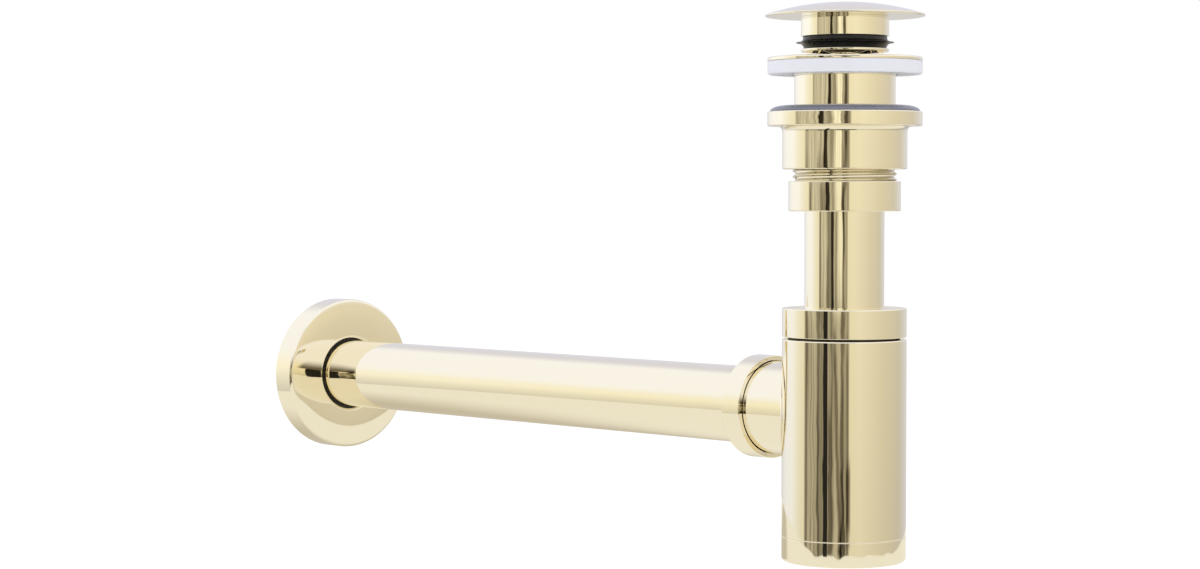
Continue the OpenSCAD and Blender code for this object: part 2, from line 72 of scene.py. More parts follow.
def polish_group():
    """Marks that polishing leaves: slow waviness, fine rings of the mop, and small changes of tint."""
    group = bpy.data.node_groups.new("polish_marks", "ShaderNodeTree")
    face = group.interface
    face.new_socket("Place", in_out="INPUT", socket_type="NodeSocketVector")
    rough = face.new_socket("Roughness", in_out="INPUT", socket_type="NodeSocketFloat")
    rough.default_value = 0.025
    face.new_socket("Tint", in_out="OUTPUT", socket_type="NodeSocketFloat")
    face.new_socket("Roughness", in_out="OUTPUT", socket_type="NodeSocketFloat")
    face.new_socket("Height", in_out="OUTPUT", socket_type="NodeSocketFloat")
    nodes, links = group.nodes, group.links
    given = nodes.new("NodeGroupInput")
    out = nodes.new("NodeGroupOutput")
    wave = nodes.new("ShaderNodeTexNoise")
    wave.inputs["Scale"].default_value = 55
    wave.inputs["Detail"].default_value = 1
    haze = nodes.new("ShaderNodeTexNoise")
    haze.inputs["Scale"].default_value = 130
    haze.inputs["Detail"].default_value = 4
    stretch = nodes.new("ShaderNodeMapping")
    stretch.inputs["Scale"].default_value = (60, 60, 3000)      # fine rings round the axis
    rings = nodes.new("ShaderNodeTexNoise")
    rings.inputs["Scale"].default_value = 1
    rings.inputs["Detail"].default_value = 3
    height = nodes.new("ShaderNodeMath")
    height.operation = "MULTIPLY_ADD"
    height.inputs[1].default_value = 0.0015
    spread = nodes.new("ShaderNodeMapRange")
    spread.inputs["From Min"].default_value = 0.35
    spread.inputs["From Max"].default_value = 0.75
    spread.inputs["To Min"].default_value = 0.75
    spread.inputs["To Max"].default_value = 1.5
    scaled = nodes.new("ShaderNodeMath")
    scaled.operation = "MULTIPLY"
    links.new(given.outputs["Place"], wave.inputs["Vector"])
    links.new(given.outputs["Place"], haze.inputs["Vector"])
    links.new(given.outputs["Place"], stretch.inputs["Vector"])
    links.new(stretch.outputs["Vector"], rings.inputs["Vector"])
    links.new(rings.outputs["Fac"], height.inputs[0])
    links.new(wave.outputs["Fac"], height.inputs[2])
    links.new(haze.outputs["Fac"], spread.inputs["Value"])
    links.new(spread.outputs["Result"], scaled.inputs[0])
    links.new(given.outputs["Roughness"], scaled.inputs[1])
    links.new(haze.outputs["Fac"], out.inputs["Tint"])
    links.new(scaled.outputs["Value"], out.inputs["Roughness"])
    links.new(height.outputs["Value"], out.inputs["Height"])
    return group


POLISH = polish_group()


def polished(name, light, deep, roughness, along_outlet=False):
    """Polished metal of two near tints, with its marks in rings about the piece's own axis."""
    material = bpy.data.materials.new(name)
    material.use_nodes = True
    nodes, links = material.node_tree.nodes, material.node_tree.links
    shader = nodes["Principled BSDF"]
    shader.inputs["Metallic"].default_value = 1
    place = nodes.new("ShaderNodeTexCoord")
    turn = nodes.new("ShaderNodeMapping")
    if along_outlet:
        turn.inputs["Rotation"].default_value = (math.radians(90), 0, 0)
    marks = nodes.new("ShaderNodeGroup")
    marks.node_tree = POLISH
    marks.inputs["Roughness"].default_value = roughness
    tint = nodes.new("ShaderNodeMix")
    tint.data_type = "RGBA"
    tint.inputs["A"].default_value = (*light, 1)
    tint.inputs["B"].default_value = (*deep, 1)
    bump = nodes.new("ShaderNodeBump")
    bump.inputs["Strength"].default_value = 1
    bump.inputs["Distance"].default_value = 0.000012
    links.new(place.outputs["Object"], turn.inputs["Vector"])
    links.new(turn.outputs["Vector"], marks.inputs["Place"])
    links.new(marks.outputs["Tint"], tint.inputs["Factor"])
    links.new(tint.outputs["Result"], shader.inputs["Base Color"])
    links.new(marks.outputs["Roughness"], shader.inputs["Roughness"])
    links.new(marks.outputs["Height"], bump.inputs["Height"])
    links.new(bump.outputs["Normal"], shader.inputs["Normal"])
    return material


GOLD_LIGHT = (0.93, 0.87, 0.71)
GOLD_DEEP = (0.92, 0.855, 0.685)
upright_gold = polished("upright_gold", GOLD_LIGHT, GOLD_DEEP, 0.025)
outlet_gold = polished("outlet_gold", GOLD_LIGHT, GOLD_DEEP, 0.025, along_outlet=True)


def arc(cx, cz, r, start, end, steps):
    """Outline points of an arc, between two angles in degrees."""
    turn = [math.radians(start + (end - start) * i / steps) for i in range(steps + 1)]
    return [(cx + r * math.cos(a), cz + r * math.sin(a)) for a in turn]


def turned(outline, steps=180):
    """Spins an outline of (radius, height, rounding) points, in millimetres, about Z."""
    bm = bmesh.new()
    corners = [bm.verts.new((p[0] * MM, 0, p[1] * MM)) for p in outline]
    for a, b in zip(corners, corners[1:] + corners[:1]):
        if a.co.x > 0 or b.co.x > 0:
            bm.edges.new((a, b))
    for size in sorted({p[2] for p in outline if len(p) > 2}):
        chosen = [v for v, p in zip(corners, outline) if len(p) > 2 and p[2] == size]
        bmesh.ops.bevel(bm, geom=chosen, offset=size * MM, offset_type="OFFSET", profile=0.5,
                        segments=4 + int(3 * size), affect="VERTICES", material=-1)
    bmesh.ops.spin(bm, geom=bm.verts[:] + bm.edges[:], cent=(0, 0, 0), axis=(0, 0, 1),
                   dvec=(0, 0, 0), angle=math.tau, steps=steps, use_merge=True,
                   use_duplicate=False)
    bmesh.ops.remove_doubles(bm, verts=bm.verts, dist=1e-7)
    return bm


def add_thread(bm, crest, depth, pitch, top, length, steps=72):
    """Winds a right-hand ridge down the bmesh's axis, with its foot sunk in the metal."""
    base = crest - depth - 0.15
    half = 0.47 * pitch
    flat = 0.09 * pitch
    section = [(base, half), (crest - depth, half), (crest, flat), (crest, -flat),
               (crest - depth, -half), (base, -half)]
    turns = int(length / pitch)
    low = top - half - pitch * turns
    loop = [bm.verts.new((r * MM, 0, (low + z) * MM)) for r, z in section]
    edges = [bm.edges.new(pair) for pair in zip(loop, loop[1:] + loop[:1])]
    wound = bmesh.ops.spin(bm, geom=loop + edges, cent=(0, 0, 0), axis=(0, 0, 1),
                           dvec=(0, 0, pitch * MM / steps), angle=math.tau * turns,
                           steps=steps * turns, use_merge=False, use_duplicate=False)
    last = [e for e in wound["geom_last"] if isinstance(e, bmesh.types.BMEdge)]
    bmesh.ops.contextual_create(bm, geom=edges)
    bmesh.ops.contextual_create(bm, geom=last)


def lay_along_outlet(bm):
    """Turns a piece from the trap's axis to the outlet's, which runs towards the wall."""
    bmesh.ops.rotate(bm, cent=(0, 0, 0), matrix=Matrix.Rotation(math.radians(-90), 3, "X"),
                     verts=bm.verts)
    bmesh.ops.translate(bm, vec=(0, 0, OUTLET_Z), verts=bm.verts)


def shown(bm, name, body, finish, stands_for=(), weighted=True):
    """Makes the bmesh a smooth piece that rides on a body and stands for CAD nodes."""
    bmesh.ops.recalc_face_normals(bm, faces=bm.faces)
    for face in bm.faces:
        face.smooth = True
    for edge in bm.edges:
        edge.smooth = edge.calc_face_angle(0) < math.radians(32)
    mesh = bpy.data.meshes.new(name)
    bm.to_mesh(mesh)
    bm.free()
    mesh.materials.append(finish)
    piece = bpy.data.objects.new(name, mesh)
    bpy.context.scene.collection.objects.link(piece)
    if weighted:
        even = piece.modifiers.new("even_normals", "WEIGHTED_NORMAL")
        even.keep_sharp = True
    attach(piece, body)
    if stands_for:
        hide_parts(*stands_for)
    return piece


TUBE_R = 20.25
BORE_R = 18.75
WASTE_END = -48.6
FLANGE_R = 31
FLANGE_TOP = 7
FLANGE_UNDER = 5.4
DISH_R = 28.2
CREST_R = 20.8
THREAD_DEPTH = 1.15
THREAD_PITCH = 2.309
THREAD_TOP = -12.5
ROOT_R = CREST_R - THREAD_DEPTH
waste = turned([
    (BORE_R, 0.92, 0.3), (DISH_R, FLANGE_TOP - 0.07, 0.5), (DISH_R + 0.4, FLANGE_TOP),
    (FLANGE_R, FLANGE_TOP, 0.75), (FLANGE_R, FLANGE_UNDER, 0.25), (28.5, FLANGE_UNDER),
    (TUBE_R, 0.1, 0.4), (TUBE_R, THREAD_TOP, 0.2), (ROOT_R, THREAD_TOP - 0.8),
    (ROOT_R, WASTE_END, 0.2), (BORE_R, WASTE_END, 0.2)])

# The cross: four arms and a socket
SOCKET_R = 9.2
SOCKET_BORE = 7
SOCKET_TOP = -7.63
SOCKET_END = -13.63
ARM_SIZE = (10.4, 2.4, SOCKET_TOP - SOCKET_END)
for quarter in range(4):
    arm = bmesh.ops.create_cube(waste, size=MM)["verts"]
    bmesh.ops.scale(waste, vec=ARM_SIZE, verts=arm)
    bmesh.ops.translate(waste, vec=(13.9 * MM, 0, (SOCKET_TOP + SOCKET_END) / 2 * MM), verts=arm)
    bmesh.ops.rotate(waste, cent=(0, 0, 0), verts=arm,
                     matrix=Matrix.Rotation(math.radians(90 * quarter), 3, "Z"))
socket = turned([
    (SOCKET_BORE, SOCKET_END), (SOCKET_R, SOCKET_END, 0.3), (SOCKET_R, SOCKET_TOP, 0.3),
    (SOCKET_BORE, SOCKET_TOP)], steps=64)
joined = bpy.data.meshes.new("cross_socket")
socket.to_mesh(joined)
socket.free()
waste.from_mesh(joined)
bpy.data.meshes.remove(joined)
shown(waste, "waste_threaded", "waste", upright_gold, ["waste_body"])

# The thread: its tint goes by the radius, with painted shade darkening its roots and a darker tint at
# its crests
ROOT_SHADE = (0.3, 0.26, 0.16)
CREST_DARK = (0.42, 0.37, 0.25)
cut_gold = polished("cut_gold", GOLD_LIGHT, GOLD_DEEP, 0.12)
nodes, links = cut_gold.node_tree.nodes, cut_gold.node_tree.links
place = nodes.new("ShaderNodeTexCoord")
flat = nodes.new("ShaderNodeVectorMath")
flat.operation = "MULTIPLY"
flat.inputs[1].default_value = (1, 1, 0)
radius = nodes.new("ShaderNodeVectorMath")
radius.operation = "LENGTH"
root_to_crest = nodes.new("ShaderNodeMapRange")
root_to_crest.inputs["From Min"].default_value = ROOT_R * MM
root_to_crest.inputs["From Max"].default_value = CREST_R * MM
# Painted shade at the thread's roots, a darker tint at its crests and plain gold between
groove_shade = nodes.new("ShaderNodeValToRGB")
groove_shade.color_ramp.elements[0].color = (*ROOT_SHADE, 1)
groove_shade.color_ramp.elements[1].color = (*CREST_DARK, 1)
for share in (0.3, 0.86):
    groove_shade.color_ramp.elements.new(share).color = (*GOLD_LIGHT, 1)
links.new(place.outputs["Object"], flat.inputs[0])
links.new(flat.outputs["Vector"], radius.inputs[0])
links.new(radius.outputs["Value"], root_to_crest.inputs["Value"])
links.new(root_to_crest.outputs["Result"], groove_shade.inputs["Fac"])
links.new(groove_shade.outputs["Color"], nodes["Principled BSDF"].inputs["Base Color"])
ridge = bmesh.new()
add_thread(ridge, CREST_R, THREAD_DEPTH, THREAD_PITCH, THREAD_TOP - 0.4, 35.5)
shown(ridge, "waste_thread", "waste", cut_gold)


# Click cartridge: nickel-plated brass sleeve and plunger, pressed into the waste's cross,
# with a moulded indexing ring and a wound steel spring that pushes the plug up.
def plain_metal(name, colour, roughness):
    """Plated or drawn metal that is never polished."""
    return polished(name, colour, tuple(0.93 * c for c in colour), roughness)


nickel = plain_metal("nickel_plate", (0.66, 0.64, 0.6), 0.22)
spring_steel = plain_metal("spring_steel", (0.5, 0.51, 0.53), 0.3)


def moulded_group():
    """Skin of moulded rubber or plastic: a fine grain, dull patches and a slight change of shade."""
    group = bpy.data.node_groups.new("moulded_skin", "ShaderNodeTree")
    face = group.interface
    face.new_socket("Place", in_out="INPUT", socket_type="NodeSocketVector")
    rough = face.new_socket("Roughness", in_out="INPUT", socket_type="NodeSocketFloat")
    rough.default_value = 0.4
    face.new_socket("Shade", in_out="OUTPUT", socket_type="NodeSocketFloat")
    face.new_socket("Roughness", in_out="OUTPUT", socket_type="NodeSocketFloat")
    face.new_socket("Height", in_out="OUTPUT", socket_type="NodeSocketFloat")
    nodes, links = group.nodes, group.links
    given = nodes.new("NodeGroupInput")
    out = nodes.new("NodeGroupOutput")
    grain = nodes.new("ShaderNodeTexNoise")
    grain.inputs["Scale"].default_value = 2600
    grain.inputs["Detail"].default_value = 3
    patch = nodes.new("ShaderNodeTexNoise")
    patch.inputs["Scale"].default_value = 160
    patch.inputs["Detail"].default_value = 3
    spread = nodes.new("ShaderNodeMapRange")
    spread.inputs["From Min"].default_value = 0.3
    spread.inputs["From Max"].default_value = 0.7
    spread.inputs["To Min"].default_value = 0.85
    spread.inputs["To Max"].default_value = 1.2
    scaled = nodes.new("ShaderNodeMath")
    scaled.operation = "MULTIPLY"
    links.new(given.outputs["Place"], grain.inputs["Vector"])
    links.new(given.outputs["Place"], patch.inputs["Vector"])
    links.new(patch.outputs["Fac"], spread.inputs["Value"])
    links.new(spread.outputs["Result"], scaled.inputs[0])
    links.new(given.outputs["Roughness"], scaled.inputs[1])
    links.new(patch.outputs["Fac"], out.inputs["Shade"])
    links.new(scaled.outputs["Value"], out.inputs["Roughness"])
    links.new(grain.outputs["Fac"], out.inputs["Height"])
    return group


MOULDED = moulded_group()


def moulded(name, dark, light, roughness, specular=0.5, grain=0.000005):
    """Moulded rubber or plastic of two near shades."""
    material = bpy.data.materials.new(name)
    material.use_nodes = True
    nodes, links = material.node_tree.nodes, material.node_tree.links
    shader = nodes["Principled BSDF"]
    shader.inputs["Specular IOR Level"].default_value = specular
    place = nodes.new("ShaderNodeTexCoord")
    skin = nodes.new("ShaderNodeGroup")
    skin.node_tree = MOULDED
    skin.inputs["Roughness"].default_value = roughness
    shade = nodes.new("ShaderNodeMix")
    shade.data_type = "RGBA"
    shade.inputs["A"].default_value = (*dark, 1)
    shade.inputs["B"].default_value = (*light, 1)
    bump = nodes.new("ShaderNodeBump")
    bump.inputs["Strength"].default_value = 1
    bump.inputs["Distance"].default_value = grain
    links.new(place.outputs["Object"], skin.inputs["Place"])
    links.new(skin.outputs["Shade"], shade.inputs["Factor"])
    links.new(shade.outputs["Result"], shader.inputs["Base Color"])
    links.new(skin.outputs["Roughness"], shader.inputs["Roughness"])
    links.new(skin.outputs["Height"], bump.inputs["Height"])
    links.new(bump.outputs["Normal"], shader.inputs["Normal"])
    return material


def carried(node, finish):
    """Gives a CAD node that keeps its shape its finish."""
    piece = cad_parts[node]
    piece.data.materials.clear()
    piece.data.materials.append(finish)


ring_plastic = moulded("ring_plastic", (0.74, 0.71, 0.62), (0.82, 0.79, 0.7), 0.35)
for node in ("cartridge_sleeve", "cartridge_end", "plunger"):
    carried(node, nickel)
carried("index_ring", ring_plastic)

# The spring: five open turns between two closed ends
WIRE_R = 0.55
COIL_R = 5.17
SPRING_END = -30.73
SPRING_RISE = 18.86
TURN_STEPS = 48
closed_turn = (2 * WIRE_R + 0.02) * MM
open_turns = SPRING_RISE * MM - 2 * closed_turn
spring = bmesh.new()
bmesh.ops.create_circle(spring, cap_ends=True, segments=14, radius=WIRE_R * MM)
bmesh.ops.rotate(spring, cent=(0, 0, 0), matrix=Matrix.Rotation(math.radians(90), 3, "X"),
                 verts=spring.verts)
bmesh.ops.translate(spring, vec=(COIL_R * MM, 0, SPRING_END * MM), verts=spring.verts)
tip = spring.edges[:] + spring.verts[:]
for turns, rise in ((1, closed_turn), (5, open_turns), (1, closed_turn)):
    steps = TURN_STEPS * turns
    wound = bmesh.ops.spin(spring, geom=tip, cent=(0, 0, 0), axis=(0, 0, 1),
                           dvec=(0, 0, rise / steps), angle=math.tau * turns, steps=steps,
                           use_merge=False, use_duplicate=False)
    tip = wound["geom_last"]
bmesh.ops.contextual_create(spring, geom=[e for e in tip if isinstance(e, bmesh.types.BMEdge)])
wound_spring = shown(spring, "spring_wound", "waste", spring_steel,
                     ["cartridge_spring"])
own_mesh(wound_spring)


# Plug: a turned bell with a black rubber seal in its groove, and a solid domed cap that is
# screwed on with its own stud. The bell is screwed to the cartridge's plunger.
CAP_R = 32
CAP_TOP = 29
CAP_UNDER = 23.2
DOME_R = 104.9
RIM_ROUND = 0.46
STUD_R = 4
STUD_END = 18.7
rim_turn = math.degrees(math.acos((CAP_R - RIM_ROUND) / (DOME_R - RIM_ROUND)))
cap = turned([
    (0, STUD_END), (STUD_R, STUD_END, 0.3), (STUD_R, CAP_UNDER),
    *arc(CAP_R - RIM_ROUND, CAP_UNDER + RIM_ROUND, RIM_ROUND, -90, rim_turn, 9),
    *arc(0, CAP_TOP - DOME_R, DOME_R, rim_turn, 89.5, 30), (0, CAP_TOP)])
shown(cap, "cap_domed", "plug", upright_gold, ["plug_cap"])

BELL_R = 17.6
BELL_HOLLOW_R = 14.2
BELL_HOLLOW_TOP = 20.6
BELL_END = 9.1
GROOVE_R = 15.6
GROOVE_TOP = 15.2
GROOVE_END = 10.3
HUB_R = 6
HUB_END = 7.95
bell = turned([
    (STUD_R, CAP_UNDER), (BELL_R, CAP_UNDER, 0.08), (BELL_R, GROOVE_TOP, 0.35),
    (GROOVE_R, GROOVE_TOP), (GROOVE_R, GROOVE_END), (BELL_R, GROOVE_END, 0.25),
    (BELL_R, BELL_END, 0.25), (16.4, BELL_END, 0.2), (BELL_HOLLOW_R, 10.6, 0.5),
    (BELL_HOLLOW_R, BELL_HOLLOW_TOP, 1), (HUB_R, BELL_HOLLOW_TOP, 1), (HUB_R, HUB_END, 0.4),
    (STUD_R, HUB_END, 0.2), (STUD_R, 17), (0, 17), (0, STUD_END), (STUD_R, STUD_END)])
shown(bell, "plug_bell", "plug", upright_gold, ["plug_body"])

LIP_R = 19.6
LIP_HEIGHT = 12.8
black_rubber = moulded("black_rubber", (0.01, 0.01, 0.011), (0.02, 0.02, 0.021), 0.3,
                       specular=0.35)
seal = turned([
    (GROOVE_R, GROOVE_TOP), (16.8, GROOVE_TOP, 0.3), (16.86, 13.9, 0.5), (BELL_R, 13.2, 0.5),
    (LIP_R, LIP_HEIGHT + 0.1, 0.06), (LIP_R, LIP_HEIGHT - 0.1, 0.06), (17.5, 12.35, 0.5),
    (16.9, 11.6, 0.3), (16.3, GROOVE_END, 0.2), (GROOVE_R, GROOVE_END)])
shown(seal, "seal_with_lip", "plug", black_rubber, ["plug_seal"])


# Clamp: a thick white plastic washer under the flange, a grey rubber washer under the basin
# and a brass back nut with a wide flange that draws them together on the waste's thread.
WASHER_HOLE_R = 21.25
white_plastic = moulded("white_plastic", (0.76, 0.76, 0.83), (0.79, 0.79, 0.86), 0.35,
                        grain=0.000002)
white_washer = turned([
    (WASHER_HOLE_R, 0), (FLANGE_R, 0, 1.1), (FLANGE_R, FLANGE_UNDER, 0.45),
    (28.55, FLANGE_UNDER, 0.1), (WASHER_HOLE_R, 0.71)])
shown(white_washer, "washer_white", "waste", white_plastic, ["flange_washer"])

NUT_HOLE_R = 20.9
NUT_TOP = -14.75
BASIN_UNDER = -12.3
grey_rubber = moulded("grey_rubber", (0.12, 0.125, 0.16), (0.18, 0.185, 0.235), 0.24,
                      specular=1)
grey_washer = turned([
    (NUT_HOLE_R, NUT_TOP), (30, NUT_TOP, 0.2), (29.9, -14, 0.5), (28.7, -13.1, 1),
    (26.7, -12.5, 1), (24.8, BASIN_UNDER, 0.8), (NUT_HOLE_R, BASIN_UNDER, 0.2)])
shown(grey_washer, "washer_grey", "clamp_washer", grey_rubber, ["basin_washer"])

NUT_R = 25
NUT_FLANGE_END = -20.6
NUT_END = -37.85
NUT_FILLET = 2.2
back_nut = turned([
    (NUT_HOLE_R, NUT_TOP, 0.3), (FLANGE_R, NUT_TOP, 0.5), (FLANGE_R, NUT_FLANGE_END, 0.45),
    *arc(NUT_R + NUT_FILLET, NUT_FLANGE_END - NUT_FILLET, NUT_FILLET, 90, 180, 8),
    (NUT_R, NUT_END, 0.5), (NUT_HOLE_R + 0.6, NUT_END), (NUT_HOLE_R, NUT_END + 0.6)])
shown(back_nut, "nut_flanged", "clamp_nut", upright_gold, ["back_nut"])


# Tail: a coupling nut on the end of the waste, a flat rubber washer and the telescopic inlet
# tube, drawn brass with its end turned out into a collar that the nut catches.
COUPLING_R = 22.5
COUPLING_TOP = -42.6
COUPLING_END = -54.6
SEAT = -52.6
PIPE_R = 16
PIPE_BORE_R = 14.8
PIPE_GUIDE_R = 16.08
tail_nut = turned([
    (NUT_HOLE_R, COUPLING_TOP, 0.3), (COUPLING_R, COUPLING_TOP, 0.4),
    (COUPLING_R, COUPLING_END, 0.45), (PIPE_GUIDE_R, COUPLING_END, 0.2), (PIPE_GUIDE_R, SEAT),
    (NUT_HOLE_R, SEAT)])
shown(tail_nut, "nut_coupling", "coupling_nut", upright_gold, ["tail_nut"])
carried("tail_washer", black_rubber)

COLLAR_R = 20.4
PIPE_TOP = -51.1
PIPE_END = -183
inlet_tube = turned([
    (PIPE_BORE_R, PIPE_TOP, 0.6), (COLLAR_R, PIPE_TOP, 0.3), (COLLAR_R, SEAT, 0.3),
    (PIPE_R, SEAT, 0.3), (PIPE_R, PIPE_END, 0.25), (PIPE_BORE_R, PIPE_END, 0.1)])
shown(inlet_tube, "tube_inlet", "inlet", upright_gold, ["inlet_tube"])


# Trap body: a drawn brass cylinder with a threaded neck and an outlet stub soldered into its
# side. The solder shows as a thin bright fillet round the foot of the stub.
BODY_R = 25
BODY_BORE_R = 23.4
BODY_TOP = -105.85
BODY_END = -185.3
NECK_R = 22
NECK_TOP = -98
STUB_R = 19
STUB_END = 45
WAY_R = 16.4
POCKET_R = 18.2


def as_tool(bm, name):
    """A closed bmesh as an object for a boolean, which is removed once it has been used."""
    bmesh.ops.recalc_face_normals(bm, faces=bm.faces)
    mesh = bpy.data.meshes.new(name)
    bm.to_mesh(mesh)
    bm.free()
    tool = bpy.data.objects.new(name, mesh)
    bpy.context.scene.collection.objects.link(tool)
    return tool


shell = as_tool(turned([
    (NECK_R, BODY_TOP), (BODY_R, BODY_TOP, 0.6), (BODY_R, BODY_END, 0.25),
    (BODY_BORE_R, BODY_END, 0.2), (BODY_BORE_R, -108.2, 0.3), (21.4, -107.4), (WAY_R, -104.8),
    (WAY_R, -101.6), (18.6, -101.6), (20, -99.6), (20, NECK_TOP, 0.2), (NECK_R, NECK_TOP, 0.2)],
    steps=240), "shell")
stub = turned([(0, 0), (STUB_R, 0), (STUB_R, STUB_END, 0.35), (0, STUB_END)], steps=180)
lay_along_outlet(stub)
stub = as_tool(stub, "stub")
core = as_tool(turned([(0, -160), (BODY_BORE_R, -160), (BODY_BORE_R, -111), (0, -111)],
                      steps=240), "core")
way = turned([(0, 0), (WAY_R, 0), (WAY_R, 41), (POCKET_R, 41), (POCKET_R, 50), (0, 50)],
             steps=180)
lay_along_outlet(way)
way = as_tool(way, "way")
for tool, operation in ((stub, "UNION"), (core, "DIFFERENCE"), (way, "DIFFERENCE")):
    cut = shell.modifiers.new(operation, "BOOLEAN")
    cut.operation = operation
    cut.solver = "EXACT"
    cut.object = tool
settled = shell.evaluated_get(bpy.context.evaluated_depsgraph_get())
trap = bmesh.new()
trap.from_mesh(settled.to_mesh())
for tool in (shell, stub, core, way):
    bpy.data.meshes.remove(tool.data)
trap_body = shown(trap, "body_with_stub", "trap", upright_gold, ["trap_body"],
                  weighted=False)

# Corner normals straight from the two axes, so that the polish runs true past the cut
mesh = trap_body.data
normals = [Vector(n.vector) for n in mesh.corner_normals]
for face in mesh.polygons:
    for corner in face.loop_indices:
        point = mesh.vertices[mesh.loops[corner].vertex_index].co
        for way_out in (Vector((point.x, point.y, 0)), Vector((point.x, 0, point.z - OUTLET_Z))):
            radial = way_out.normalized()
            along = face.normal.dot(radial)
            if abs(along) > 0.9995:
                normals[corner] = radial * math.copysign(1, along)
mesh.normals_split_custom_set(normals)

# The solder: rings that follow the body's wall, a little above or under it, bridged in turn
solder = bmesh.new()
rings = []
for radius, lift in ((STUB_R - 0.1, -0.6), (STUB_R + 1.0, 0.0), (STUB_R + 0.38, 0.12),
                     (STUB_R + 0.1, 0.4), (STUB_R - 0.02, 1.0), (STUB_R - 0.3, 1.0)):
    circle = bmesh.ops.create_circle(solder, segments=144, radius=radius * MM)["verts"]
    for v in circle:
        wall = math.sqrt(BODY_R ** 2 - (v.co.x / MM) ** 2)
        v.co = (v.co.x, (wall + lift) * MM, v.co.y + OUTLET_Z)
    rings.append(list({e for v in circle for e in v.link_edges}))
for low, high in zip(rings, rings[1:] + rings[:1]):
    bmesh.ops.bridge_loops(solder, edges=low + high)
shown(solder, "solder_fillet", "trap", upright_gold)


# Neck: the thread under the collar nut, darkened as painted shade for the gap under the nut. It rides
# on the body.
gap_shaded = polished("gap_shaded_thread", (0.15, 0.13, 0.095), (0.1, 0.088, 0.065), 0.4)
NECK_CREST_R = 22.82
FINE_PITCH = 1.5
neck = turned([
    (NECK_R - 0.1, NECK_TOP - 0.05), (NECK_R + 0.05, NECK_TOP - 0.05),
    (NECK_R + 0.05, BODY_TOP + 0.05), (NECK_R - 0.1, BODY_TOP + 0.05)])
add_thread(neck, NECK_CREST_R, 0.8, FINE_PITCH, NECK_TOP - 0.3, 7.5)
shown(neck, "neck_thread", "trap", gap_shaded)


# Collar: a nut on the body's neck that presses a slip ring on a tapered rubber seal, which
# grips the inlet tube, so that the tube slides and turns in the trap until it is tight.
carried("collar_seal", black_rubber)
carried("collar_ring", ring_plastic)
COLLAR_TOP = -93.4
COLLAR_END = -105.05
COLLAR_BORE_R = 22.9
collar = turned([
    (PIPE_GUIDE_R, COLLAR_TOP, 0.2), (BODY_R, COLLAR_TOP, 0.5), (BODY_R, COLLAR_END, 0.3),
    (COLLAR_BORE_R, COLLAR_END, 0.2), (COLLAR_BORE_R, COLLAR_TOP - 2),
    (PIPE_GUIDE_R, COLLAR_TOP - 2)])
shown(collar, "nut_collar", "collar", upright_gold, ["collar_nut"])


# Cup: the turned bottom of the trap, which unscrews for cleaning. Its spigot has a thread
# and an O-ring that seals in the body's bore.
SPIGOT_R = 23.3
SPIGOT_ROOT_R = 22.4
SPIGOT_TOP = -176
CUP_R = 20.4
CUP_END = -195.4
CUP_FLOOR = CUP_END + 2
RING_GROOVE_R = 21.54
cup = turned([
    (0, CUP_END), (BODY_R, CUP_END, 1.75), (BODY_R, BODY_END, 0.25), (SPIGOT_R, BODY_END, 0.1),
    (SPIGOT_R, -183), (RING_GROOVE_R, -183), (RING_GROOVE_R, -181), (SPIGOT_ROOT_R, -181),
    (SPIGOT_ROOT_R, SPIGOT_TOP, 0.2), (CUP_R, SPIGOT_TOP, 0.3), (CUP_R, CUP_FLOOR, 1.5),
    (0, CUP_FLOOR)])
add_thread(cup, SPIGOT_R, SPIGOT_R - SPIGOT_ROOT_R, FINE_PITCH, SPIGOT_TOP - 0.2, 4.7)
shown(cup, "cup_turned", "cup", upright_gold, ["bottom_cup"])
carried("cup_seal", black_rubber)


# Outlet: a nut on the stub squeezes a rubber seal with a slip ring round the drawn 32 mm
# tube, which goes through the rosette into the wall.
carried("outlet_seal", black_rubber)
carried("outlet_ring", ring_plastic)
OUTLET_NUT_R = 21.25
OUTLET_NUT_BACK = 38.4
OUTLET_NUT_FRONT = 48.4
MOUTH_R = 19.3
outlet_nut = turned([
    (MOUTH_R, OUTLET_NUT_BACK, 0.15), (OUTLET_NUT_R, OUTLET_NUT_BACK, 0.4),
    (OUTLET_NUT_R, OUTLET_NUT_FRONT, 0.45), (PIPE_GUIDE_R, OUTLET_NUT_FRONT, 0.2),
    (PIPE_GUIDE_R, 46.6), (MOUTH_R - 0.2, 46.6), (MOUTH_R - 0.2, 39.6), (MOUTH_R, 39.4)])
lay_along_outlet(outlet_nut)
shown(outlet_nut, "nut_outlet", "wall_nut", outlet_gold, ["outlet_nut"])

OUTLET_START = 30
OUTLET_END = 350.3
outlet_tube = turned([
    (PIPE_BORE_R, OUTLET_START, 0.1), (PIPE_R, OUTLET_START, 0.2), (PIPE_R, OUTLET_END, 0.2),
    (PIPE_BORE_R, OUTLET_END, 0.1)], steps=200)
lay_along_outlet(outlet_tube)
shown(outlet_tube, "tube_outlet", "outlet", outlet_gold, ["outlet_tube"])


# Rosette: a spun brass cover at the wall, open at the back, with a black rubber ring in the
# collar round its hole that holds it on the tube.
ROSETTE_R = 36
ROSETTE_HOLLOW_R = 34.5
ROSETTE_HOLE_R = 17
FACE = 322.4
LIP_ROUND = 1.5
WALL = 335.3
FLAT_R = 19
DOME_EDGE_R = 34.4
RIM_TILT = 9
rise = math.tan(math.radians(RIM_TILT)) / (ROSETTE_R - FLAT_R) ** 2 / 3
domed = [(r, FACE + rise * (r - FLAT_R) ** 3) for r in (*range(FLAT_R, 34, 2), DOME_EDGE_R)]
RING_SEAT_R = 18
RING_SEAT = 324.6
RING_BACK = 328.3
rosette = turned([
    (ROSETTE_HOLE_R, FACE, LIP_ROUND), *domed, (ROSETTE_R, 323.4, 1.1), (ROSETTE_R, WALL, 0.25),
    (ROSETTE_HOLLOW_R, WALL, 0.1), (ROSETTE_HOLLOW_R, 324.8, 1), (19.5, 323.6, 0.5),
    (19.5, RING_BACK, 0.2), (RING_SEAT_R, RING_BACK, 0.2), (RING_SEAT_R, RING_SEAT),
    (ROSETTE_HOLE_R, RING_SEAT, 0.1)])
lay_along_outlet(rosette)
